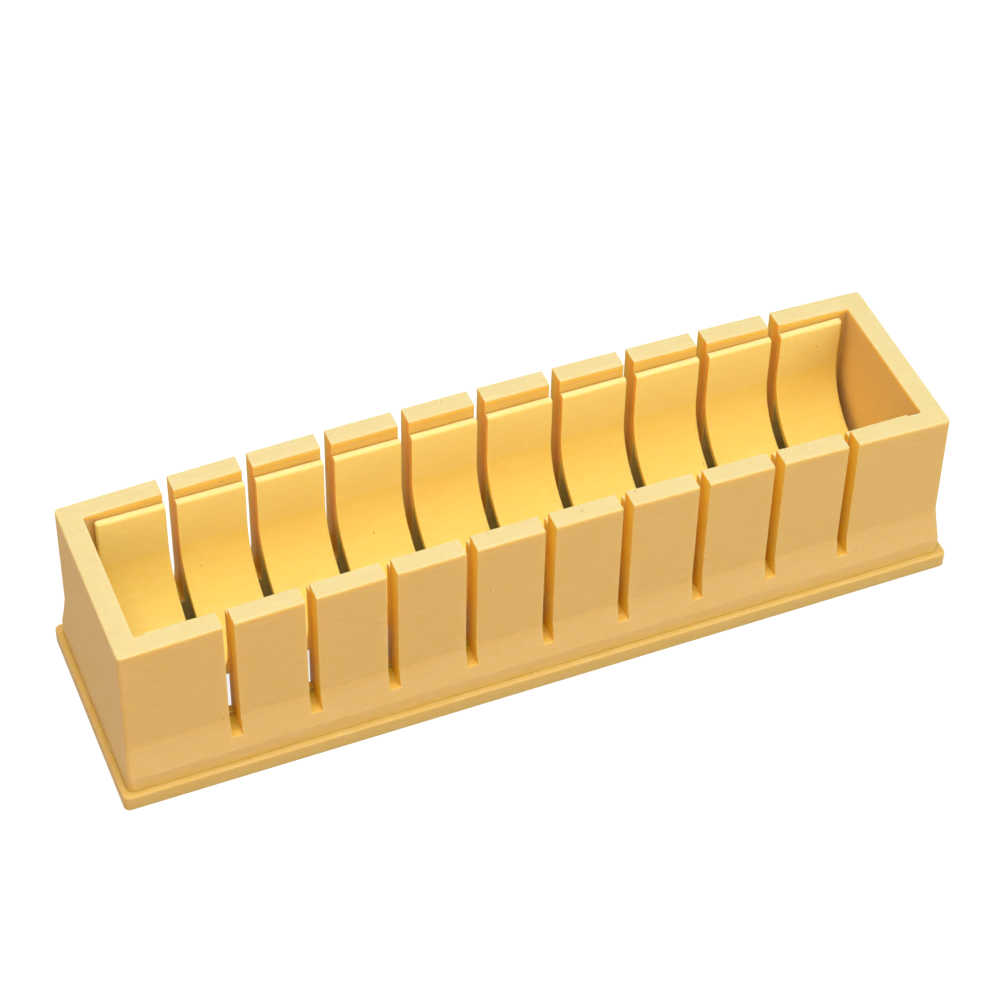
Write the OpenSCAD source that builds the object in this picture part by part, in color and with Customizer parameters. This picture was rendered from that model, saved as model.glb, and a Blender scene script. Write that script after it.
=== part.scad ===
// Slotted mold for rolled sushi: a base tray, a frame with knife slots that stands in
// the tray, and a lower former, the half-round bed that stands inside the frame. Tray
// and former are open underneath, as thin-walled mouldings are.
// Origin: the centre of the tray's underside. X runs along the mold, Z is up.

/* [Frame] */
// Outer length at the rim
frame_length = 224; // [150:0.5:300]
// Outer width at the rim
frame_width = 53.3; // [46:0.1:70]
// Height of the rim's corners above the table
rim_height = 51.9; // [46:0.1:70]
// Rise of the long walls' top edge at mid length
rim_crown = 2.4; // [0:0.1:5]
// Thickness of the end walls
end_wall = 6.05; // [4:0.05:9]
// Thickness of the long walls
long_wall = 5.65; // [4:0.05:8]
// Radius of the frame's upright corners at the rim
frame_corner_r = 1.2; // [0.9:0.1:4]
// Radius of the same corners at the foot
foot_corner_r = 1.9; // [1:0.1:4]
// Radius of the inner corners
mouth_corner_r = 0.5; // [0.3:0.1:2.5]
// Rounding of the rim's edges
rim_round = 0.5; // [0.2:0.05:0.8]
// Height of the knee, where the wall begins to flare
knee_height = 19.3; // [16:0.1:26]
// Height where the flare ends and the foot goes straight down
foot_height = 9.4; // [6:0.1:13]
// Draft of each wall, from rim to knee
wall_draft = 0.25; // [0.1:0.05:0.6]
// How far the foot stands out beyond the end walls
end_flare = 1.3; // [0.7:0.05:3]
// How far the foot stands out beyond the long walls
side_flare = 2.6; // [0.7:0.05:4]

/* [Knife slots] */
// Distance from slot to slot
slot_pitch = 21; // [12:0.5:40]
// Width of each slot
slot_width = 2.9; // [1.5:0.1:5]
// Height of the frame's slot floors above the table
slot_floor = 13.1; // [10:0.1:15.5]
// How much higher the former's slot floors lie
slot_step = 0.9; // [0.2:0.1:2]
// Solid wall kept between the last slot and the mouth's end
slot_margin = 8; // [4:0.5:30]
// Material kept below the frame's slot floors, above the rebate
slot_bridge = 3; // [1.5:0.1:5]

/* [Base tray] */
// Thickness of the tray's floor
tray_floor = 2.2; // [1.2:0.1:3.5]
// Height of the lip above the table
lip_height = 4.85; // [4:0.05:6.5]
// Distance from the frame's foot to the outside of the lip
lip_reach = 1.7; // [1.3:0.05:4]
// Radius of the tray's plan corners
tray_corner_r = 1.6; // [1.1:0.1:4]
// Rounding of the lip's upper and lower outer edges
lip_round = 0.6; // [0.2:0.05:1]
// Depth of the rebate inside the frame's foot, where the upstand goes
rebate_depth = 2.4; // [1.5:0.05:3]
// Width of the ledge, round the floor's window, that the former stands on
ledge_width = 5; // [3:0.5:12]

/* [Lower former] */
// Thickness of the former's walls and trough
former_wall = 2.1; // [1.4:0.05:3]
// How far the former's top lies below the rim's corners
former_drop = 1.4; // [0:0.1:5]
// Gap between the former's ends and the frame's end walls
former_end_gap = 2.4; // [1.2:0.1:5]
// Height of the trough's lowest line above the former's slot floors
trough_rise = 3.4; // [0.5:0.1:5]
// Rounding of the former's top edges and upright end edges
former_round = 0.9; // [0.3:0.05:1]
// Thickness of the ribs under the trough
rib_thick = 1.6; // [1:0.1:3]
// Height of the ribs' lower edges above the tray's floor
rib_lift = 4; // [1:0.5:7]

/* [Fits] */
// Clearance all round between the loose pieces
fit_gap = 0.2; // [0.1:0.05:0.5]

/* [Hidden] */
$fn = 96;
// Points per quarter turn, steps along the crown, steps down the flare and round an edge
corner_steps = 5;
crown_steps = 12;
flare_steps = 4;
edge_steps = 3;
// How far a cutter runs past the face that it opens
past = 1;
plastic = [0.957, 0.847, 0.545];

// Half sizes of the frame's outside and mouth at the rim, and of the foot
frame_hx = frame_length / 2;
frame_hy = frame_width / 2;
mouth_hx = frame_hx - end_wall;
mouth_hy = frame_hy - long_wall;
foot_hx = frame_hx + end_flare;
foot_hy = frame_hy + side_flare;
// The foot stands on the tray's floor
seat = tray_floor;

// Rebate inside the foot, and the upstand that fills it with clearance
rebate_hx = mouth_hx + rebate_depth;
rebate_hy = mouth_hy + rebate_depth;
rebate_top = slot_floor - slot_bridge;
upstand_top = rebate_top - fit_gap;

// The former's outside, the trough's radius and the height of its centre line
former_hx = mouth_hx - former_end_gap;
former_hy = mouth_hy - fit_gap;
former_top = rim_height - former_drop;
trough_r = former_hy - former_wall;
former_slot_floor = slot_floor + slot_step;
trough_z = former_slot_floor + trough_rise + trough_r;

// Slots to each side of the middle one
side_slots = floor((mouth_hx - slot_margin - slot_width / 2) / slot_pitch);

// The crown: height added at x, an arc of this radius through the rim's corners
crown_r = (frame_hx * frame_hx + rim_crown * rim_crown) / (2 * max(rim_crown, 0.001));
function crown(x) = sqrt(crown_r * crown_r - x * x) - crown_r + rim_crown;

// One ring of a loft: a rounded rectangle of half size hx, hy, walked anticlockwise.
// The long sides of every ring have points at the same x, so that lofts that follow the
// crown meet without a step. lift is the share of the crown that the ring takes.
crown_span = mouth_hx - 2 * mouth_corner_r;
function corner_arc(cx, cy, r, from) =
    [for (i = [0:corner_steps]) let (a = from + 90 * i / corner_steps)
        [cx + r * cos(a), cy + r * sin(a)]];
function long_side(dir, y) =
    [for (i = [0:crown_steps]) [dir * crown_span * (1 - 2 * i / crown_steps), y]];
function outline(hx, hy, r) = concat(
    corner_arc(hx - r, hy - r, r, 0), long_side(1, hy),
    corner_arc(r - hx, hy - r, r, 90), corner_arc(r - hx, r - hy, r, 180),
    long_side(-1, -hy), corner_arc(hx - r, r - hy, r, 270));
function ring(hx, hy, r, z, lift = 0) =
    [for (p = outline(hx, hy, r)) [p.x, p.y, z + lift * crown(p.x)]];

// A solid through a list of rings, lowest first. Its two caps are strips that join each
// point to its mirror image across X, so a cap can follow the crown.
module loft(rings) {
    n = len(rings[0]);
    top = (len(rings) - 1) * n;
    polyhedron(
        points = [for (one = rings) each one],
        faces = concat(
            [for (i = [0:n / 2 - 2]) [i, i + 1, n - 2 - i, n - 1 - i]],
            [for (k = [0:n:top - n]) for (i = [0:n - 1]) let (j = (i + 1) % n)
                [k + i, k + n + i, k + n + j, k + j]],
            [for (i = [0:n / 2 - 2])
                [top + n - 1 - i, top + n - 2 - i, top + i + 1, top + i]]),
        convexity = 4);
}

// Exact upright block with rounded plan corners
module rounded_block(hx, hy, r, z0, z1) {
    translate([0, 0, z0]) linear_extrude(z1 - z0) {
        square([2 * hx, 2 * (hy - r)], center = true);
        square([2 * (hx - r), 2 * hy], center = true);
        for (sx = [-1, 1], sy = [-1, 1])
            translate([sx * (hx - r), sy * (hy - r)]) circle(r);
    }
}

// Knife slots across the whole mold, from floor_z up past the crown
module slot_cutters(floor_z) {
    reach = 2 * (foot_hy + past);
    for (i = [-side_slots:side_slots])
        translate([i * slot_pitch - slot_width / 2, -reach / 2, floor_z])
            cube([slot_width, reach, rim_height + rim_crown + past - floor_z]);
}

// Outside of the frame: straight foot, flare, knee, drafted wall, crowned rim. The
// flare is a little hollow: its slope grows from the knee, where t is 1, to the foot.
function flare_ring(t) =
    let (ease = 1 - (1 - t) * (5 - t) / 5)
    ring(foot_hx + (frame_hx + wall_draft - foot_hx) * ease,
         foot_hy + (frame_hy + wall_draft - foot_hy) * ease,
         foot_corner_r + (frame_corner_r - foot_corner_r) * ease,
         foot_height + (knee_height - foot_height) * t);
function rim_ring(a) =
    let (inset = rim_round * (1 - cos(a)))
    ring(frame_hx - inset, frame_hy - inset, frame_corner_r - inset,
         rim_height - rim_round * (1 - sin(a)), 1);
module frame_outside() {
    loft(concat(
        [ring(foot_hx, foot_hy, foot_corner_r, seat)],
        [for (i = [0:flare_steps]) flare_ring(i / flare_steps)],
        [for (i = [0:edge_steps]) rim_ring(90 * i / edge_steps)]));
}

// Mouth through the frame, its upper edge rounded and following the crown
function mouth_ring(a) =
    let (flare = rim_round * (1 - cos(a)))
    ring(mouth_hx + flare, mouth_hy + flare, mouth_corner_r + flare,
         rim_height - rim_round * (1 - sin(a)), 1);
module frame_mouth() {
    loft(concat(
        [ring(mouth_hx, mouth_hy, mouth_corner_r, seat - past)],
        [for (i = [0:edge_steps]) mouth_ring(90 * i / edge_steps)],
        [ring(mouth_hx + rim_round, mouth_hy + rim_round, mouth_corner_r + rim_round,
              rim_height + past, 1)]));
}

module slotted_frame() {
    color(plastic) difference() {
        frame_outside();
        frame_mouth();
        rounded_block(rebate_hx, rebate_hy, mouth_corner_r, seat - past, rebate_top);
        slot_cutters(slot_floor);
    }
}

// Half section of the tray's slab, with the outer edges of its lip rounded
module slab_section(reach) {
    translate([0, lip_round]) square([reach, lip_height - 2 * lip_round]);
    square([reach - lip_round, lip_height]);
    for (z = [lip_round, lip_height - lip_round])
        translate([reach - lip_round, z]) circle(lip_round);
}
module tray_slab(hx, hy, r) {
    for (turn = [0, 180]) rotate(turn) {
        translate([0, hy - r, 0]) rotate([90, 0, 90])
            linear_extrude(2 * (hx - r), center = true) slab_section(r);
        translate([hx - r, 0, 0]) rotate([90, 0, 0])
            linear_extrude(2 * (hy - r), center = true) slab_section(r);
    }
    for (sx = [-1, 1], sy = [-1, 1])
        translate([sx * (hx - r), sy * (hy - r), 0]) rotate_extrude() slab_section(r);
    translate([r - hx, r - hy, 0]) cube([2 * (hx - r), 2 * (hy - r), lip_height]);
}

module base_tray() {
    color(plastic) {
        difference() {
            tray_slab(foot_hx + lip_reach, foot_hy + lip_reach, tray_corner_r);
            rounded_block(foot_hx + fit_gap, foot_hy + fit_gap,
                          foot_corner_r + fit_gap, tray_floor, lip_height + past);
            rounded_block(former_hx - ledge_width, former_hy - ledge_width,
                          mouth_corner_r, -past, tray_floor + past);
        }
        difference() {
            rounded_block(rebate_hx - fit_gap, rebate_hy - fit_gap, mouth_corner_r,
                          tray_floor / 2, upstand_top);
            translate([-former_hx - fit_gap, -former_hy - fit_gap, 0])
                cube([2 * (former_hx + fit_gap), 2 * (former_hy + fit_gap), rim_height]);
        }
    }
}

// Cross-section of the former in Y and Z: two guide walls with rounded tops
module former_outline() {
    inset = former_round;
    translate([-former_hy, seat])
        square([2 * former_hy, former_top - inset - seat]);
    translate([inset - former_hy, seat])
        square([2 * (former_hy - inset), former_top - seat]);
    for (sy = [-1, 1])
        translate([sy * (former_hy - inset), former_top - inset]) circle(inset);
}
// The channel that holds the roll: half-round below, straight above
module channel_outline() {
    translate([0, trough_z]) circle(trough_r);
    translate([-trough_r, trough_z])
        square([2 * trough_r, former_top + past - trough_z]);
}
// The hollow under the trough, between the two skirts
module hollow_outline() {
    difference() {
        translate([-trough_r, seat - past])
            square([2 * trough_r, trough_z - seat + past]);
        translate([0, trough_z]) circle(trough_r + former_wall);
    }
}
module along_x(length) {
    rotate([90, 0, 90]) linear_extrude(length, center = true) children();
}
// A rib joins both guide walls to the underside of the trough
module rib_outline() {
    difference() {
        translate([former_wall / 2 - former_hy, seat + rib_lift])
            square([2 * former_hy - former_wall, trough_z - seat - rib_lift]);
        channel_outline();
    }
}
// Rounds off the upright ends of the guide walls
module wall_end_cutters() {
    r = former_wall / 2;
    for (sx = [-1, 1], sy = [-1, 1])
        translate([sx * (former_hx - r), sy * (former_hy - r), trough_z]) difference() {
            translate([sx > 0 ? 0 : -r - past, -r - past, 0])
                cube([r + past, 2 * (r + past), former_top]);
            translate([0, 0, -past]) cylinder(r = r, h = former_top + 2 * past);
        }
}
module lower_former() {
    length = 2 * former_hx;
    color(plastic) difference() {
        union() {
            difference() {
                along_x(length) difference() {
                    former_outline();
                    channel_outline();
                }
                along_x(length - 2 * former_wall) hollow_outline();
            }
            for (i = [1 - side_slots:side_slots])
                translate([(i - 0.5) * slot_pitch, 0, 0]) along_x(rib_thick) rib_outline();
        }
        slot_cutters(former_slot_floor);
        wall_end_cutters();
    }
}

base_tray();
slotted_frame();
lower_former();
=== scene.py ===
"""Slotted mold for rolled sushi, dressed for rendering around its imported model.

Three loose mouldings of one pale yellow plastic, stacked on a white table: a lipped
base tray, a frame with nine knife slots in each long wall, and the half-round former
that stands inside it. Lengths are in metres, and x runs along the mold.
"""

import bpy
import numpy as np
from mathutils import Matrix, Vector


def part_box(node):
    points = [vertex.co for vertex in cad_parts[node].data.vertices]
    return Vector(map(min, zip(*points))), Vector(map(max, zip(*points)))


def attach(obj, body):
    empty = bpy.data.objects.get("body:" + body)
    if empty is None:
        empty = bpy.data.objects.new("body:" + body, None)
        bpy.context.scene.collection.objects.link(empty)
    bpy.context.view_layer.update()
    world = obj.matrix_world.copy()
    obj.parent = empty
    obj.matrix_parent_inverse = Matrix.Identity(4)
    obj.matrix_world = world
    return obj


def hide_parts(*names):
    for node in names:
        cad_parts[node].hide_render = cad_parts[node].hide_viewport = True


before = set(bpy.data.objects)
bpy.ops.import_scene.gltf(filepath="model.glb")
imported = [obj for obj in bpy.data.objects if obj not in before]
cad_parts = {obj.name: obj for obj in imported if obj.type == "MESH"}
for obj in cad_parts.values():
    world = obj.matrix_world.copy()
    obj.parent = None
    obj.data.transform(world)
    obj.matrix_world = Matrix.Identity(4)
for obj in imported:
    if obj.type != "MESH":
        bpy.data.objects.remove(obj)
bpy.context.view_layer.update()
scene = bpy.context.scene

# ---------------------------------------------------------------------------
# Base tray. The real piece is a shallow plastic moulding with a low lip round the
# frame's foot, loose on the table. The upstand that centres the frame and the former,
# and the window in the floor, are guessed as such molds are made.
# ---------------------------------------------------------------------------
MM = 0.001
TINY = 1e-7  # Two lengths that differ by less are the same
SHARPEST_SMOOTH = 40  # Degrees; a steeper edge is shaded as an edge
CORNER_STEPS = 6  # Of a plan corner
END_STEPS = 4  # Of an end wall's straight part
ARC_POINTS = 6  # Of a rounded corner of the tray's section
tray_high = np.array(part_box("base_tray")[1])
frame_low, frame_high = (np.array(c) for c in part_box("slotted_frame"))
former_high = np.array(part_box("lower_former")[1])
foot_hx, foot_hy = frame_high[:2]
former_hx, former_hy = former_high[:2]
seat = frame_low[2]
fit_gap = 0.2 * MM
lip_height = 4.85 * MM
groove_gap = 0.03 * MM
ledge_width = 5 * MM
upstand_wall = np.array([4.4, 2.2]) * MM
tray_corner = 1.6 * MM


def outline(long_x):
    """Stations of a rounded rectangle, walked anticlockwise from its back right corner.

    Each station is a row of three weights: x = weights . (half length, corner radius, 1)
    and y = weights . (half width, corner radius, 1). A corner station at angle a is
    sign * (half size - radius) + radius * cos a or sin a. A station of a long side has a
    fixed x, and one of an end wall a fixed share of the straight half width.
    """
    across, up = [], []
    share = np.linspace(-1, 1, END_STEPS + 1)[1:-1]
    sides = [(1, 1, 0), (-1, 1, 90), (-1, -1, 180), (1, -1, 270)]
    for k, (sx, sy, start) in enumerate(sides):
        a = np.radians(np.linspace(start, start + 90, CORNER_STEPS + 1))
        across.append(np.stack([sx + 0 * a, np.cos(a) - sx, 0 * a], 1))
        up.append(np.stack([sy + 0 * a, np.sin(a) - sy, 0 * a], 1))
        if k % 2 == 0:
            x = long_x[::-sy]
            across.append(np.stack([0 * x, 0 * x, x], 1))
            up.append(np.stack([sy + 0 * x, 0 * x, 0 * x], 1))
        else:
            t = share * sx
            across.append(np.stack([sx + 0 * t, 0 * t, 0 * t], 1))
            up.append(np.stack([t, -t, 0 * t], 1))
    return np.concatenate(across), np.concatenate(up)


def carry(stations, section):
    """Carries a section round the outline: one point per station and section point.

    A section point is (half length, half width, corner radius, height).
    """
    across, up = stations
    hx, hy, r, z = np.asarray(section).T
    one = np.ones_like(r)
    x = across @ np.stack([hx, r, one])
    y = up @ np.stack([hy, r, one])
    return np.stack([x, y, np.broadcast_to(z, x.shape)], -1)


def round_corners(corners, radius):
    """Replaces each corner of a closed section by a quarter circle.

    A point is corner - arrive * radius * (1 - sin t) + leave * radius * (1 - cos t), where
    arrive and leave are the unit directions of travel, either level or upright.
    """
    ahead = np.roll(corners, -1, 0) - corners
    level = np.abs(ahead[:, 3:]) < TINY
    leave = np.where(level, np.sign(ahead[:, :1]) * [1, 1, 1, 0],
                     np.sign(ahead[:, 3:]) * [0, 0, 0, 1])
    arrive = np.roll(leave, 1, 0)
    t = np.linspace(0, np.pi / 2, ARC_POINTS)[None, :, None]
    size = radius[:, None, None]
    arcs = corners[:, None] + size * (leave[:, None] * (1 - np.cos(t))
                                      - arrive[:, None] * (1 - np.sin(t)))
    return arcs.reshape(-1, 4)


def ring_faces(n_stations, n_points):
    """Quads of a surface that closes on itself both ways."""
    s, p = np.meshgrid(np.arange(n_stations), np.arange(n_points), indexing="ij")
    s2, p2 = (s + 1) % n_stations, (p + 1) % n_points
    return np.stack([s * n_points + p, s2 * n_points + p,
                     s2 * n_points + p2, s * n_points + p2], -1).reshape(-1, 4)


def volume(points, quads):
    """Signed volume inside a closed mesh of quads."""
    a, b, c, d = (points[quads[:, k]] for k in range(4))
    return (np.einsum("ij,ij->i", a, np.cross(b, c)).sum()
            + np.einsum("ij,ij->i", a, np.cross(c, d)).sum()) / 6


def make_piece(name, points, painted_light, quads, node, body, slot, material):
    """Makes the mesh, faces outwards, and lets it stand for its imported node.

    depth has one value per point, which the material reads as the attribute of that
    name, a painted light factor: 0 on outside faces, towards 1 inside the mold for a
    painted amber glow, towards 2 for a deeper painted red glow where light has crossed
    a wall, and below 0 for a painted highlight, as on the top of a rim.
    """
    if volume(points, quads) < 0:
        quads = quads[:, ::-1]
    mesh = bpy.data.meshes.new(name)
    mesh.from_pydata(points.tolist(), [], quads.tolist())
    mesh.polygons.foreach_set("use_smooth", np.ones(len(quads), bool))
    mesh.set_sharp_from_angle(angle=np.radians(SHARPEST_SMOOTH))
    mesh.attributes.new("painted_light", "FLOAT", "POINT").data.foreach_set("value", painted_light)
    piece = bpy.data.objects.new(name, mesh)
    scene.collection.objects.link(piece)
    even = piece.modifiers.new("even_shading", "WEIGHTED_NORMAL")
    even.mode = "FACE_AREA"
    even.keep_sharp = True
    mesh.materials.append(material)
    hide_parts(node)
    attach(piece, body)


def node_group(name, inputs, outputs):
    """An empty shader node group with named sockets: (name, kind, value) each."""
    group = bpy.data.node_groups.new(name, "ShaderNodeTree")
    for label, kind, value in inputs:
        socket = group.interface.new_socket(label, in_out="INPUT", socket_type=kind)
        socket.default_value = value
    for label, kind in outputs:
        group.interface.new_socket(label, in_out="OUTPUT", socket_type=kind)
    return group, group.nodes.new("NodeGroupInput"), group.nodes.new("NodeGroupOutput")


def add(tree, kind, links=None, **values):
    """Adds one node. Sockets in links are joined, and the other values are set."""
    node = tree.nodes.new(kind)
    for key, value in values.items():
        setattr(node, key, value)
    for key, value in (links or {}).items():
        if isinstance(value, bpy.types.NodeSocket):
            tree.links.new(value, node.inputs[key])
        else:
            node.inputs[key].default_value = value
    return node


def moulded_plastic_with_painted_light():
    """Node group: the skin of a satin moulding, from its Object coordinates.

    Depth, a painted light factor, mixes the Base colour: into Inner, a painted amber glow,
    from 0 to 1, that into Core, a deeper painted red glow, from 1 to 2, and into Rubbed,
    a painted highlight, from 0 to -1. Faint streaks that the melt leaves along the mold
    add Pale, soft blotches multiply by Deep, and a few specks lie in the plastic. Height
    is the fine grain of the tool's surface, with shallow unevenness under it.
    """
    group, given, gives = node_group(
        "moulded_plastic_with_painted_light",
        [("Base", "NodeSocketColor", (0.8, 0.6, 0.2, 1)),
         ("Pale", "NodeSocketColor", (0.1, 0.1, 0.1, 1)),
         ("Deep", "NodeSocketColor", (0.9, 0.9, 0.8, 1)),
         ("Speck", "NodeSocketColor", (0.2, 0.1, 0.03, 1)),
         ("PaintedGlow", "NodeSocketColor", (0.8, 0.4, 0.05, 1)),
         ("PaintedDeepGlow", "NodeSocketColor", (0.8, 0.3, 0.05, 1)),
         ("PaintedHighlight", "NodeSocketColor", (0.9, 0.7, 0.3, 1)),
         ("Depth", "NodeSocketFloat", 0.0),
         ("Roughness", "NodeSocketFloat", 0.4)],
        [("Color", "NodeSocketColor"), ("Roughness", "NodeSocketFloat"),
         ("Height", "NodeSocketFloat")])
    place = add(group, "ShaderNodeTexCoord").outputs["Object"]
    blotch = add(group, "ShaderNodeTexNoise",
                 {"Vector": place, "Scale": 420.0, "Detail": 4.0, "Roughness": 0.65})
    along = add(group, "ShaderNodeMapping", {"Vector": place, "Scale": (150, 900, 1900)})
    streak = add(group, "ShaderNodeTexNoise",
                 {"Vector": along.outputs[0], "Scale": 1.0, "Detail": 2.0})
    grain = add(group, "ShaderNodeTexNoise",
                {"Vector": place, "Scale": 2600.0, "Detail": 2.0})
    dots = add(group, "ShaderNodeTexVoronoi", {"Vector": place, "Scale": 150.0})

    pale_at = add(group, "ShaderNodeMapRange", {
        "Value": streak.outputs[0], "From Min": 0.48, "From Max": 0.75,
        "To Min": 0.0, "To Max": 0.5})
    deep_at = add(group, "ShaderNodeMapRange", {
        "Value": blotch.outputs[0], "From Min": 0.45, "From Max": 0.75,
        "To Min": 0.0, "To Max": 0.4})
    speck_at = add(group, "ShaderNodeMapRange", {
        "Value": dots.outputs["Distance"], "From Min": 0.022, "From Max": 0.042,
        "To Min": 0.75, "To Max": 0.0})
    above = add(group, "ShaderNodeMath", {0: given.outputs["Depth"], 1: -1.0},
                operation="MULTIPLY", use_clamp=True)
    below = add(group, "ShaderNodeMath", {0: given.outputs["Depth"], 1: 1.0},
                operation="MULTIPLY", use_clamp=True)
    beyond = add(group, "ShaderNodeMath", {0: given.outputs["Depth"], 1: 1.0},
                 operation="SUBTRACT", use_clamp=True)
    tone = given.outputs["Base"]
    # Painted glow, deeper painted glow and painted highlight, then the plastic's own marks
    for other, share, blend in (("PaintedGlow", below, "MIX"), ("PaintedDeepGlow", beyond, "MIX"),
                                ("PaintedHighlight", above, "MIX"), ("Pale", pale_at, "ADD"),
                                ("Deep", deep_at, "MULTIPLY"), ("Speck", speck_at, "MIX")):
        mix = add(group, "ShaderNodeMix", data_type="RGBA", blend_type=blend)
        group.links.new(share.outputs[0], mix.inputs["Factor"])
        group.links.new(tone, mix.inputs[6])
        group.links.new(given.outputs[other], mix.inputs[7])
        tone = mix.outputs[2]
    group.links.new(tone, gives.inputs["Color"])

    worn = add(group, "ShaderNodeMapRange", {
        "Value": blotch.outputs[0], "From Min": 0.3, "From Max": 0.7,
        "To Min": -0.05, "To Max": 0.06})
    rough = add(group, "ShaderNodeMath", operation="ADD", use_clamp=True)
    group.links.new(given.outputs["Roughness"], rough.inputs[0])
    group.links.new(worn.outputs[0], rough.inputs[1])
    group.links.new(rough.outputs[0], gives.inputs["Roughness"])

    uneven = add(group, "ShaderNodeMath", {0: blotch.outputs[0], 1: 3.5},
                 operation="MULTIPLY")
    height = add(group, "ShaderNodeMath", {0: grain.outputs[0], 1: uneven.outputs[0]},
                 operation="ADD")
    group.links.new(height.outputs[0], gives.inputs["Height"])
    return group


skin_group = moulded_plastic_with_painted_light()
# The last three tones are painted light: an amber glow, a deeper red glow, a highlight
skin_and_painted_light_tones = {"Pale": (0.04, 0.07, 0.09), "Deep": (0.98, 0.92, 0.80), "Speck": (0.25, 0.12, 0.03),
              "PaintedGlow": (0.93, 0.63, 0.05), "PaintedDeepGlow": (0.95, 0.38, 0.06), "PaintedHighlight": (0.70, 0.66, 0.365)}


def yellow_plastic(name, base, roughness):
    """Satin yellow plastic that lets a little warm light through its thin walls."""
    material = bpy.data.materials.new(name)
    material.use_nodes = True
    tree = material.node_tree
    shader = tree.nodes["Principled BSDF"]
    look = add(tree, "ShaderNodeGroup", node_tree=skin_group)
    for label, tone in {"Base": base, **skin_and_painted_light_tones}.items():
        look.inputs[label].default_value = (*tone, 1)
    # Reads the painted light factor that each point carries
    painted_light = add(tree, "ShaderNodeAttribute", attribute_name="painted_light")
    tree.links.new(painted_light.outputs["Fac"], look.inputs["Depth"])
    look.inputs["Roughness"].default_value = roughness
    bump = add(tree, "ShaderNodeBump", {"Strength": 0.25, "Distance": 0.00004,
                                        "Height": look.outputs["Height"]})
    tree.links.new(look.outputs["Color"], shader.inputs["Base Color"])
    tree.links.new(look.outputs["Roughness"], shader.inputs["Roughness"])
    tree.links.new(bump.outputs[0], shader.inputs["Normal"])
    shader.inputs["IOR"].default_value = 1.46
    shader.inputs["Specular IOR Level"].default_value = 0.13
    shader.inputs["Subsurface Weight"].default_value = 0.7
    shader.inputs["Subsurface Radius"].default_value = (1.0, 0.75, 0.35)
    shader.inputs["Subsurface Scale"].default_value = 0.003
    return material


tray_plastic = yellow_plastic("tray_plastic", (0.68, 0.465, 0.145), 0.52)
lip_hx, lip_hy, upstand_top = tray_high
pocket_hx, pocket_hy = former_hx + fit_gap, former_hy + fit_gap
post_hx, post_hy = pocket_hx + upstand_wall[0], pocket_hy + upstand_wall[1]
window_hx, window_hy = former_hx - ledge_width, former_hy - ledge_width
groove_hx, groove_hy = foot_hx + groove_gap, foot_hy + groove_gap
groove_r = 1.98 * MM
inner_r = 0.5 * MM
# A corner's half length, half width, plan radius, height, rounding and painted light factor
tray_corners = np.array([
    (window_hx, window_hy, inner_r, 0, 0.3 * MM, 0.3),
    (lip_hx, lip_hy, tray_corner, 0, 0.4 * MM, 0),
    (lip_hx, lip_hy, tray_corner, lip_height, 0.6 * MM, 0),
    (groove_hx, groove_hy, groove_r, lip_height, 0.06 * MM, 0.5),
    (groove_hx, groove_hy, groove_r, seat, 0.15 * MM, 0.5),
    (post_hx, post_hy, inner_r, seat, 0.2 * MM, 0.3),
    (post_hx, post_hy, inner_r, upstand_top, 0.3 * MM, 0.1),
    (pocket_hx, pocket_hy, inner_r, upstand_top, 0.3 * MM, 0.1),
    (pocket_hx, pocket_hy, inner_r, seat, 0.2 * MM, 0.3),
    (window_hx, window_hy, inner_r, seat, 0.4 * MM, 0.3)])
tray_section = round_corners(tray_corners[:, :4], tray_corners[:, 4])
tray_painted_light = np.repeat(tray_corners[:, 5], ARC_POINTS)
# The lip's outer edge gets a painted highlight, its inner edge beside the foot a painted glow
lip_outer, lip_inner = 2 * ARC_POINTS, 3 * ARC_POINTS
tray_painted_light[lip_outer:lip_inner] = 0, 0, -0.1, -0.1, 0, 0
tray_painted_light[lip_inner:lip_inner + ARC_POINTS] = 0.1, 0.2, 0.4, 0.5, 0.7, 0.7
tray_side_x = np.linspace(-98, 98, 15) * MM
tray_points = carry(outline(tray_side_x), tray_section)
make_piece("base_tray_skin", tray_points.reshape(-1, 3),
           np.tile(tray_painted_light, len(tray_points)),
           ring_faces(*tray_points.shape[:2]),
           "base_tray", "base", "tray_plastic", tray_plastic)

# ---------------------------------------------------------------------------
# Slotted frame. The real piece is a tall open-ended box, moulded in one, with slots in
# its long walls that guide the knife. Below the knee the walls flare out to a foot that
# stands inside the lip. How far the long rims rise to mid length is a guess.
# ---------------------------------------------------------------------------
rim_height = 51.9 * MM
rim_crown = frame_high[2] - rim_height
rim_round = 0.5 * MM
rim_hx, rim_hy = 112 * MM, 26.65 * MM
end_wall, long_wall = 6.05 * MM, 5.65 * MM
mouth_hx, mouth_hy = rim_hx - end_wall, rim_hy - long_wall
rim_r, mouth_r, foot_r = 1.2 * MM, 0.5 * MM, 1.9 * MM
knee_height, foot_height = 19.3 * MM, 9.4 * MM
wall_draft = 0.25 * MM
flare_curve = 5  # The larger, the straighter the flare
rebate_depth, rebate_top = 2.4 * MM, 10.1 * MM
slot_pitch, slot_half = 21 * MM, 1.45 * MM
slot_floor = 13.1 * MM
slot_round = 0.15 * MM
side_slots = 4
slot_middles = np.arange(-side_slots, side_slots + 1) * slot_pitch
floor_turn = np.linspace(0, np.pi / 2, 5)
rim_turn = np.linspace(0, np.pi / 2, 7)
# Heights of the painted glowing line over the lip, of rows on the flare and the wall,
# and of the painted golden line under the rim
lip_line, lip_line_end = 4.9 * MM, 5.4 * MM
row_gap = 0.4 * MM
flare_rows = np.array([13.7, 14.5, 16.5]) * MM
wall_rows = np.array([18.9, 19.3, 19.7, 30, 41, 47, 50.6]) * MM
rim_line = 51.1 * MM
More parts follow.
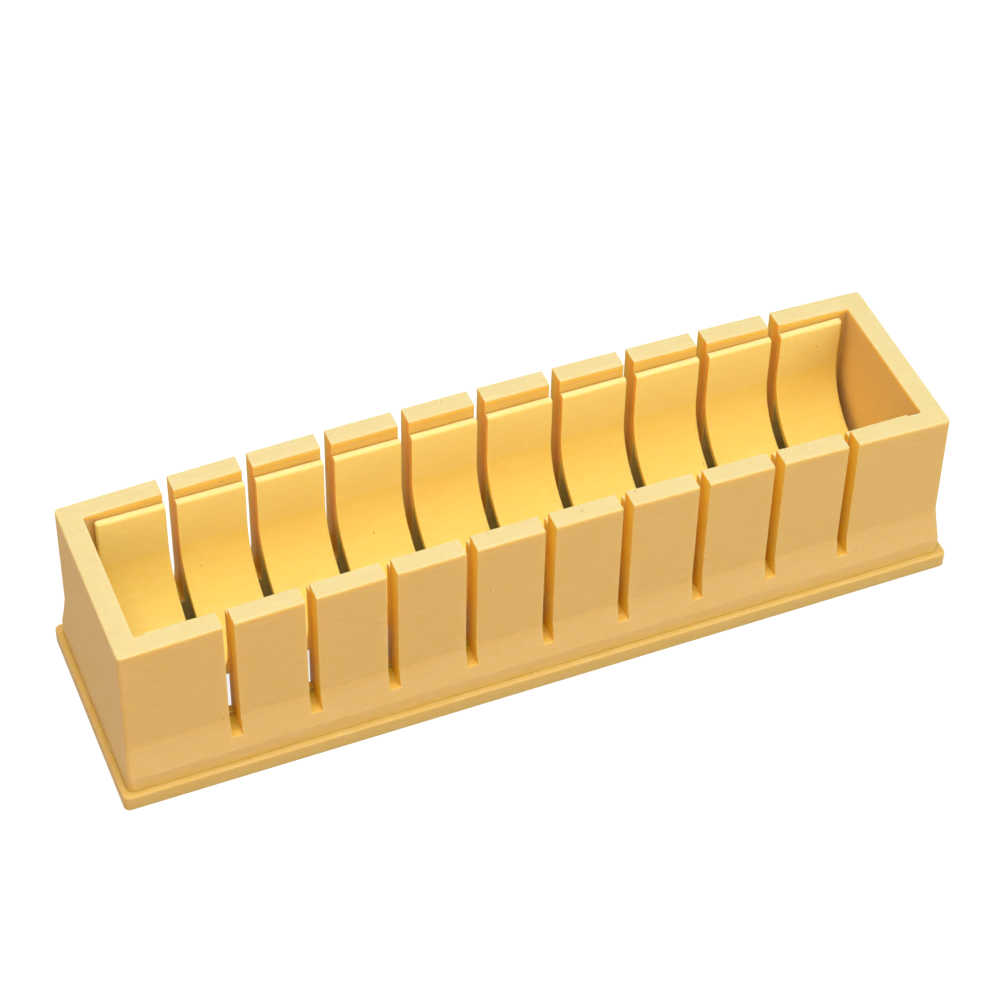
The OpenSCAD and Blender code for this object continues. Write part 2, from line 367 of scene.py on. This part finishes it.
# Painted light factors: an amber glow inside the long walls, a faint highlight inside
# the end walls, and a faint highlight on the outside flare
inner_wall_glow, end_wall_highlight, flare_highlight = 0.3, -0.15, -0.1
full_rounding = 0.99


def crown(x):
    """Height added to the rim at x: an arc through the rim's corners."""
    big = (rim_hx ** 2 + rim_crown ** 2) / (2 * rim_crown)
    return np.sqrt(big ** 2 - x ** 2) - big + rim_crown


def slot_stations(end, extra=(), round_steps=4, between=3):
    """Stations along x for a wall with knife slots, from -end to end.

    Beside each slot edge they follow a quarter circle: slot_round * (1 - sin t) away
    from it, where the section shrinks by slot_round * (1 - cos t). Gives x and how much
    the section shrinks there.
    """
    t = np.linspace(0, np.pi / 2, round_steps + 1)
    away = slot_half + slot_round * (1 - np.sin(t))
    shrink = slot_round * (1 - np.cos(t))
    x = np.concatenate([(slot_middles[:, None] - away).ravel(),
                        (slot_middles[:, None] + away).ravel()])
    d = np.tile(np.tile(shrink, len(slot_middles)), 2)
    share = np.arange(1, between + 1) / (between + 1)
    gaps = (slot_middles[:-1, None] + away[0]
            + share * (slot_pitch - 2 * away[0])).ravel()
    last = slot_middles[-1]
    tips = last + away[0] + np.array([0.25, 0.5, 0.75]) * (end - last - away[0])
    plain = np.concatenate([gaps, tips, -tips, [-end, end], extra])
    x, d = np.concatenate([x, plain]), np.concatenate([d, 0 * plain])
    order = np.argsort(x)
    return x[order], d[order]


def frame_profile():
    """Levels of the frame's wall, lowest first, as an outer and an inner section point.

    Both are (half length, half width, corner radius, height, share of the crown, level
    part of the outward normal, upright part of it, share of the slot rounding, painted
    light factor).
    The outside runs up the foot, the flare between foot and knee, whose slope grows
    downwards, the drafted wall, and a quarter circle at the rim. The inside has the
    rebate for the tray's upstand, then goes straight up to its own quarter circle.
    """
    foot_round = 0.2 * MM
    start = rim_height - rim_round

    def flare(z):
        t = np.clip((z - foot_height) / (knee_height - foot_height), 0, 1)
        return 1 - (1 - t) * (flare_curve - t) / flare_curve

    def outer(z, inset=0.0):
        up = np.clip((z - knee_height) / (start - knee_height), 0, 1)
        grow = flare(z)
        hx = foot_hx + (rim_hx + wall_draft - foot_hx) * grow - wall_draft * up
        hy = foot_hy + (rim_hy + wall_draft - foot_hy) * grow - wall_draft * up
        r = rim_r + (foot_r - rim_r) * (1 - grow)
        return hx - inset, hy - inset, r - inset, z, up

    def inner(z, step=0.0):
        up = np.clip((z - knee_height) / (start - knee_height), 0, 1)
        return mouth_hx + step, mouth_hy + step, mouth_r, z, up

    outside, inside = [], []
    flared = (flare_highlight, inner_wall_glow)

    def level(out, ins, n_out=(1, 0), n_in=(-1, 0), rounding=0.0, painted_light=(0.0, inner_wall_glow)):
        outside.append((*out, *n_out, rounding, painted_light[0]))
        inside.append((*ins, *n_in, rounding, painted_light[1]))

    # The foot's lowest edge gets a painted glow, stronger outside than inside
    for t in np.radians([0, 30, 60, 90]):
        inset, z = foot_round * (1 - np.sin(t)), seat + foot_round * (1 - np.cos(t))
        level(outer(z, inset), inner(z, rebate_depth + inset / 2), painted_light=(0.6, 0.2))
    level(outer(lip_line), inner(lip_line, rebate_depth), painted_light=(0.9, inner_wall_glow))
    level(outer(lip_line_end), inner(lip_line_end, rebate_depth), painted_light=(0.1, inner_wall_glow))
    for below in (row_gap, 0):
        level(outer(foot_height - below), inner(rebate_top - below, rebate_depth), painted_light=flared)
    level(outer(foot_height + row_gap), inner(rebate_top), painted_light=flared)
    for t in floor_turn:
        z = slot_floor - slot_round * (1 - np.sin(t))
        level(outer(z), inner(z), rounding=1 - np.cos(t), painted_light=flared)
    for z in flare_rows:
        level(outer(z), inner(z), rounding=1.0, painted_light=flared)
    for z in wall_rows:
        level(outer(z), inner(z), rounding=1.0)
    level(outer(rim_line), inner(rim_line), rounding=1.0, painted_light=(0.3, 0.9))
    # Over the rim's rounding a faint painted glow turns into the painted highlight on top
    for t in rim_turn:
        c, s = np.cos(t), np.sin(t)
        inset, z = rim_round * (1 - c), start + rim_round * s
        hx, hy, r = rim_hx - inset, rim_hy - inset, rim_r - inset
        wide = mouth_hx + inset, mouth_hy + inset, mouth_r + inset
        level((hx, hy, r, z, 1), (*wide, z, 1), (c, s), (-c, s), 1.0,
              (0.3 - s, 0.2 - 0.9 * s))
    return np.array(outside), np.array(inside)


def skin(points, painted_light, cells, keep, closed):
    """Outer faces of a solid built of six-sided cells, as points, depths and quads.

    points and depth hold one row per station and one column per section point, cells the
    four section points of each cell, and keep says which cells are solid in the span
    after each station. A face that two solid cells share lies inside and is dropped.
    """
    n_stations, n_points = points.shape[:2]
    span, cell = np.nonzero(keep)
    near = span[:, None] * n_points + cells[cell]
    far = ((span + 1) % n_stations if closed else span + 1)[:, None] * n_points + cells[cell]
    walls = [np.stack([near[:, a], near[:, b], far[:, b], far[:, a]], 1)
             for a, b in ((0, 1), (1, 2), (2, 3), (3, 0))]
    faces = np.concatenate([near[:, ::-1], far, *walls])
    _, first, count = np.unique(np.sort(faces, 1), axis=0, return_index=True,
                                return_counts=True)
    faces = faces[first[count == 1]]
    used, renamed = np.unique(faces, return_inverse=True)
    return points.reshape(-1, 3)[used], painted_light.ravel()[used], renamed.reshape(-1, 4)


frame_plastic = yellow_plastic("frame_plastic", (0.74, 0.49, 0.16), 0.55)
crown_end = mouth_hx - 2 * mouth_r
wall_x, wall_shrink = slot_stations(crown_end)
outside, inside = frame_profile()
section = np.concatenate([outside, inside])
crown_share, level_normal, upright_normal, slot_share, level_painted_light = section[:, 4:].T
points = carry(outline(wall_x), section[:, :4])
n_levels = len(outside)
n_long = len(wall_x)
n_corner = CORNER_STEPS + 1
first_long = n_corner
second_long = first_long + n_long + n_corner + (END_STEPS - 1) + n_corner
# Only the long sides have slots. A span belongs to the station that it starts from
shrink = np.zeros(len(points))
long_station = np.zeros(len(points), bool)
long_span = np.zeros(len(points), bool)
for first, side_shrink in ((first_long, wall_shrink[::-1]), (second_long, wall_shrink)):
    shrink[first:first + n_long] = side_shrink
    long_station[first:first + n_long] = True
    long_span[first:first + n_long - 1] = True
inset = shrink[:, None] * slot_share
points[..., 1] -= np.sign(points[..., 1]) * inset * level_normal
points[..., 2] += crown(points[..., 0]) * crown_share - inset * upright_normal
cells = np.array([(j, j + 1, n_levels + j + 1, n_levels + j) for j in range(n_levels - 1)])
middle_x = (points[:, 0, 0] + np.roll(points[:, 0, 0], -1)) / 2
in_slot = long_span & (np.abs(middle_x[:, None] - slot_middles) < slot_half / 2).any(1)
over_floor = outside[:-1, 3] >= slot_floor - TINY
keep = ~(in_slot[:, None] & over_floor)
painted_light = np.tile(level_painted_light, (len(points), 1))
painted_light[~long_span] = np.where(level_painted_light == inner_wall_glow, end_wall_highlight, level_painted_light)
# Painted glow: light that crosses the wall turns redder, so a slot's sides are painted
# redder towards the inside
at_edge = long_station & (np.abs(np.abs(points[:, :1, 0] - slot_middles) - slot_half)
                          < TINY).any(1)
at_floor = section[:, 3] < slot_floor + TINY
outer_slot_glow = np.where(at_floor, 0.4, 0.45)
inner_slot_glow = np.where(at_floor, 1.0, 1.7)
slot_side_glow = np.where(np.arange(len(section)) < n_levels, outer_slot_glow, inner_slot_glow)
painted_light = np.where(at_edge[:, None] & (slot_share > full_rounding), slot_side_glow, painted_light)
make_piece("slotted_frame_skin", *skin(points, painted_light, cells, keep, closed=True),
           "slotted_frame", "frame", "frame_plastic", frame_plastic)

# ---------------------------------------------------------------------------
# Lower former. The real piece is a thin-walled moulding with two guide walls, loose on
# the tray's ledge, and its slots carry on the frame's. The half-round trough, ribbed
# and open underneath, is guessed as such molds are made.
# ---------------------------------------------------------------------------
former_wall = 2.1 * MM
former_top = former_high[2]
former_round = 0.9 * MM
end_round = 0.8 * MM
trough_r = former_hy - former_wall
former_floor = 14.0 * MM
trough_rise = 3.4 * MM
trough_z = former_floor + trough_rise + trough_r
rib_foot = seat + 4 * MM
rib_half = 0.8 * MM
trough_steps = 36
end_round_start, high_row_z = 0.8 * MM, 44 * MM
former_slot_glow = 1.5


def former_section():
    """Section points (y, z, normal y, normal z, slot share, end share, depth) and cells.

    Each guide wall is a column of cells. The trough is a band between the circles of
    radius trough_r and trough_r + former_wall, joined to the walls where those circles
    meet their inner faces. Under it are the rows that only ribs and end webs fill.
    Also gives each cell's kind: 0 foot of a wall, 1 wall, 2 trough, 3 below the
    ribs, 4 rib.
    """
    outer_r = trough_r + former_wall
    meet = trough_z - np.sqrt(outer_r ** 2 - trough_r ** 2)
    start = former_top - former_round
    z_floor = former_floor - slot_round * (1 - np.sin(floor_turn))
    z = np.concatenate([[seat, rib_foot], z_floor,
                        [meet, trough_z, trough_z + end_round_start, high_row_z]])
    share = np.concatenate([[0, 0], 1 - np.cos(floor_turn), [1, 1, 1, 1]])
    at_end = np.where(z > trough_z + TINY, 1.0, 0.0)
    i_floor, i_meet, i_trough = 6, 7, 8
    t = rim_turn
    inset = np.concatenate([0 * z, former_round * (1 - np.cos(t))])
    n_level = np.concatenate([0 * z + 1, np.cos(t)])
    n_up = np.concatenate([0 * z, np.sin(t)])
    z = np.concatenate([z, start + former_round * np.sin(t)])
    share = np.concatenate([share, 0 * t + 1])
    at_end = np.concatenate([at_end, 0 * t + 1])
    n = len(z)
    walls = []
    for sy in (-1, 1):
        # The guide walls get a faint painted glow, and their rounded tops a painted highlight
        for y, out, side_glow in ((former_hy - inset, sy, 0.15), (trough_r + inset, -sy, 0.1)):
            walls.append(np.stack([sy * y, z, out * n_level, n_up, share, at_end,
                                   side_glow - (side_glow + 0.5) * n_up], 1))
    k = np.arange(1, trough_steps)
    upper_a = np.pi + np.pi * k / trough_steps
    first = np.pi + np.arcsin((trough_z - meet) / outer_r)
    lower_a = first + (3 * np.pi - 2 * first) * k / trough_steps
    # The last column of each point is its painted glow: faint in the trough and under it
    upper = np.stack([trough_r * np.cos(upper_a), trough_z + trough_r * np.sin(upper_a),
                      -np.cos(upper_a), -np.sin(upper_a), 0 * k + 1, 0 * k + 0.35,
                      0 * k + 0.35], 1)
    lower_y, lower_z = outer_r * np.cos(lower_a), trough_z + outer_r * np.sin(lower_a)
    still = np.zeros(len(k))
    lower = np.stack([lower_y, lower_z, still, still, still, still, still + 0.3], 1)
    below = [np.stack([lower_y, still + z[j], still, still, still, still, still + 0.3], 1)
             for j in range(i_floor + 1)]
    points = np.concatenate([*walls, upper, lower, *below])

    def row(left, first_new, right):
        return np.concatenate([[left], first_new + np.arange(trough_steps - 1), [right]])

    inner = (n, 3 * n)
    m = 4 * n
    upper_row = row(inner[0] + i_trough, m, inner[1] + i_trough)
    lower_row = row(inner[0] + i_meet, m + trough_steps - 1, inner[1] + i_meet)
    rows = [row(inner[0] + j, m + (2 + j) * (trough_steps - 1), inner[1] + j)
            for j in range(i_floor + 1)] + [lower_row]
    cells, kinds = [], []
    for side in (0, 2 * n):
        for j in range(n - 1):
            cells.append((side + j, side + j + 1, side + n + j + 1, side + n + j))
            kinds.append(0 if j < i_floor else 1)
            if side == 0:
                cells[-1] = cells[-1][::-1]

    def strip(low, high, kind):
        for c in range(trough_steps):
            cells.append((low[c], low[c + 1], high[c + 1], high[c]))
            kinds.append(kind)

    strip(lower_row, upper_row, 2)
    for j in range(len(rows) - 1):
        strip(rows[j], rows[j + 1], 3 if j == 0 else 4)
    return points, np.array(cells), np.array(kinds)


former_plastic = yellow_plastic("former_plastic", (0.94, 0.73, 0.26), 0.5)
end_t = np.linspace(0, np.pi / 2, 6)
end_x = former_hx - end_round * (1 - np.sin(end_t))
rib_x = (np.arange(1 - side_slots, side_slots + 1) - 0.5) * slot_pitch
web_x = former_hx - former_wall
extra = np.concatenate([end_x[:-1], -end_x[:-1], rib_x - rib_half, rib_x + rib_half,
                        [web_x, -web_x]])
former_x, former_shrink = slot_stations(former_hx, extra, between=2)
end_shrink = end_round * (1 - np.cos(np.arcsin(np.clip(
    1 - (former_hx - np.abs(former_x)) / end_round, 0, 1))))
section, cells, kinds = former_section()
wall_y, wall_z, normal_y, normal_z, slot_share, end_share, level_painted_light = section.T
inset = former_shrink[:, None] * slot_share + end_shrink[:, None] * end_share
points = np.stack([np.broadcast_to(former_x[:, None], inset.shape),
                   wall_y - inset * normal_y, wall_z - inset * normal_z], -1)
middle_x = (former_x[:-1] + former_x[1:]) / 2
in_slot = (np.abs(middle_x[:, None] - slot_middles) < slot_half).any(1)
in_web = np.abs(middle_x) > web_x
in_rib = (np.abs(middle_x[:, None] - rib_x) < rib_half).any(1)
keep = np.ones((len(middle_x), len(cells)), bool)
keep[np.ix_(in_slot, (kinds == 1) | (kinds == 2))] = False
keep[np.ix_(~in_web, kinds == 3)] = False
keep[np.ix_(~(in_web | in_rib), kinds == 4)] = False
painted_light = np.tile(level_painted_light, (len(points), 1))
# The former's slot edges get a deeper painted glow
at_edge = (np.abs(np.abs(former_x[:, None] - slot_middles) - slot_half) < TINY).any(1)
painted_light = np.where(at_edge[:, None] & (slot_share > full_rounding), former_slot_glow, painted_light)
make_piece("lower_former_skin", *skin(points, painted_light, cells, keep, closed=False),
           "lower_former", "former", "former_plastic", former_plastic)

# ---------------------------------------------------------------------------
# Studio. A white table that shows as plain white but keeps a faint shadow, four large
# soft lights, and a camera where the photograph's stood.
# ---------------------------------------------------------------------------
TABLE = 3.0
SOFTBOX = 0.85
mold_middle = (0, 0, 0.03)


def white_table():
    """Matt white. What the camera sees of it, straight or in a gloss, glows a little.

    The glow grows with the distance from the mold, so the table fades into the backdrop.
    """
    material = bpy.data.materials.new("white_table")
    material.use_nodes = True
    tree = material.node_tree
    tree.nodes.clear()
    path = add(tree, "ShaderNodeLightPath")
    seen = add(tree, "ShaderNodeMath", {0: path.outputs["Is Camera Ray"],
                                        1: path.outputs["Is Glossy Ray"]}, operation="MAXIMUM")
    seen = add(tree, "ShaderNodeMath", {0: seen.outputs[0],
                                        1: path.outputs["Is Transmission Ray"]},
               operation="MAXIMUM")
    plain = add(tree, "ShaderNodeBsdfDiffuse", {"Color": (0.5, 0.5, 0.5, 1)})
    faint = add(tree, "ShaderNodeBsdfDiffuse", {"Color": (0.25, 0.25, 0.25, 1)})
    place = add(tree, "ShaderNodeTexCoord").outputs["Object"]
    away = add(tree, "ShaderNodeVectorMath", {0: place}, operation="LENGTH")
    strength = add(tree, "ShaderNodeMapRange", {
        "Value": away.outputs["Value"], "From Min": 0.3, "From Max": 1.2,
        "To Min": 0.86, "To Max": 1.0})
    glow = add(tree, "ShaderNodeEmission", {"Color": (1, 1, 1, 1),
                                            "Strength": strength.outputs[0]})
    both = add(tree, "ShaderNodeAddShader", {0: faint.outputs[0], 1: glow.outputs[0]})
    mix = add(tree, "ShaderNodeMixShader", {0: seen.outputs[0], 1: plain.outputs[0],
                                            2: both.outputs[0]})
    out = add(tree, "ShaderNodeOutputMaterial")
    tree.links.new(mix.outputs[0], out.inputs["Surface"])
    return material


half = TABLE / 2
table_mesh = bpy.data.meshes.new("table")
table_mesh.from_pydata([(-half, -half, 0), (half, -half, 0), (half, half, 0), (-half, half, 0)],
                       [], [(0, 1, 2, 3)])
table_mesh.materials.append(white_table())
table = bpy.data.objects.new("table", table_mesh)
scene.collection.objects.link(table)


def soft_light(name, place, power, colour):
    """A square softbox at place, turned to face the mold."""
    data = bpy.data.lights.new(name, "AREA")
    data.size = SOFTBOX
    data.energy = power
    data.color = colour
    lamp = bpy.data.objects.new(name, data)
    scene.collection.objects.link(lamp)
    back = np.subtract(place, mold_middle)
    back /= np.linalg.norm(back)
    side = np.cross((0, 1, 0) if abs(back[2]) > 0.9 else (0, 0, 1), back)
    side /= np.linalg.norm(side)
    matrix = np.eye(4)
    matrix[:3, 0], matrix[:3, 1], matrix[:3, 2] = side, np.cross(back, side), back
    matrix[:3, 3] = place
    lamp.matrix_world = Matrix(matrix.tolist())


soft_light("overhead", (-0.12, -0.15, 1.3), 12.7, (1.0, 1.0, 0.99))
soft_light("front_right", (0.6, -1.1, 0.6), 7.2, (1.0, 1.0, 1.0))
soft_light("back", (0.2, 1.2, 0.5), 2.5, (1.0, 0.97, 0.9))
soft_light("left", (-0.9, -0.5, 0.7), 3.0, (1.0, 0.37, 0.08))

world = bpy.data.worlds.new("studio")
scene.world = world
world.use_nodes = True
tree = world.node_tree
tree.nodes.clear()
path = add(tree, "ShaderNodeLightPath")
ambient = add(tree, "ShaderNodeBackground", {"Color": (1, 0.98, 0.95, 1), "Strength": 0.36})
seen_white = add(tree, "ShaderNodeBackground", {"Color": (1, 1, 1, 1), "Strength": 1.0})
mix = add(tree, "ShaderNodeMixShader", {0: path.outputs["Is Camera Ray"],
                                        1: ambient.outputs[0], 2: seen_white.outputs[0]})
out = add(tree, "ShaderNodeOutputWorld")
tree.links.new(mix.outputs[0], out.inputs["Surface"])

# The camera's place, bearings and lens come from fitting the mold's own corners
camera_place = np.array([-0.21117, -0.48685, 0.59579])
azimuth, elevation, roll = np.radians([-23.19, 46.39, 1.45])
back = np.array([np.sin(azimuth) * np.cos(elevation),
                 -np.cos(azimuth) * np.cos(elevation), np.sin(elevation)])
level = np.cross(-back, (0, 0, 1))
level /= np.linalg.norm(level)
above = np.cross(level, -back)
matrix = np.eye(4)
matrix[:3, 0] = np.cos(roll) * level + np.sin(roll) * above
matrix[:3, 1] = np.cos(roll) * above - np.sin(roll) * level
matrix[:3, 2] = back
matrix[:3, 3] = camera_place
camera_data = bpy.data.cameras.new("camera")
camera_data.sensor_width = 36
camera_data.lens = 108.02
camera = bpy.data.objects.new("camera", camera_data)
camera.matrix_world = Matrix(matrix.tolist())
scene.collection.objects.link(camera)
scene.camera = camera
scene.view_settings.view_transform = "Standard"
